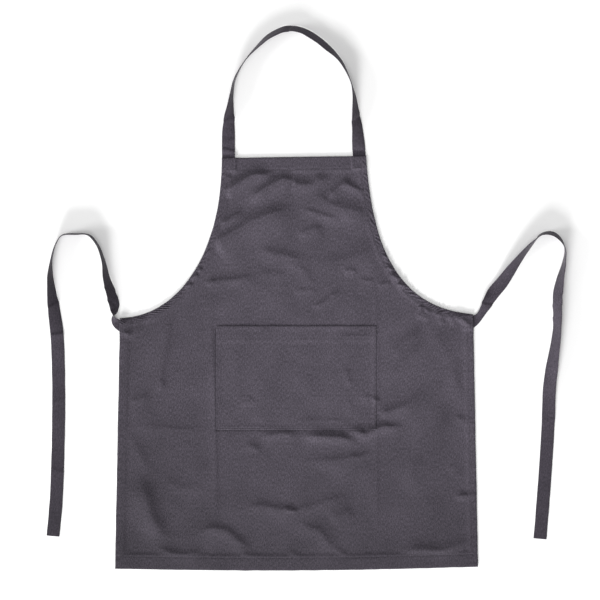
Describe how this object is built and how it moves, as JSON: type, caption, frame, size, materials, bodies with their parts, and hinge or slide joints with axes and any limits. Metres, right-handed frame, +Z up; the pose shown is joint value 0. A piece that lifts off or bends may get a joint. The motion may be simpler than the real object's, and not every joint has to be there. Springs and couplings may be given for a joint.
{
  "type": "kitchen apron",
  "caption": "Bib apron of plain dark cloth, laid flat, with a wide patch pocket, a fixed neck strap and two side ties.",
  "frame": {"origin": "on the surface under the cloth, at the middle of the line between the two side corners, where the panel lies flat", "axes": "+Y from the bottom hem towards the neck strap, +X to the wearer's left as the apron lies face up, +Z up off the surface"},
  "size_m": [1.0005, 1.0521, 0.0251],
  "materials": {
    "cloth": "dark grey-purple cotton twill, matt, with a fine heathered grain",
    "tape": "the same twill folded and stitched into a flat strap"
  },
  "bodies": {
    "root": {"body_panel": "cloth", "top_hem": "cloth", "bottom_hem": "cloth", "armhole_hem_left": "cloth", "armhole_hem_right": "cloth", "side_hem_left": "cloth", "side_hem_right": "cloth", "patch_pocket": "cloth", "pocket_hem": "cloth", "neck_strap": "tape", "waist_tie_left": "tape", "waist_tie_right": "tape"}
  },
  "joints": []
}
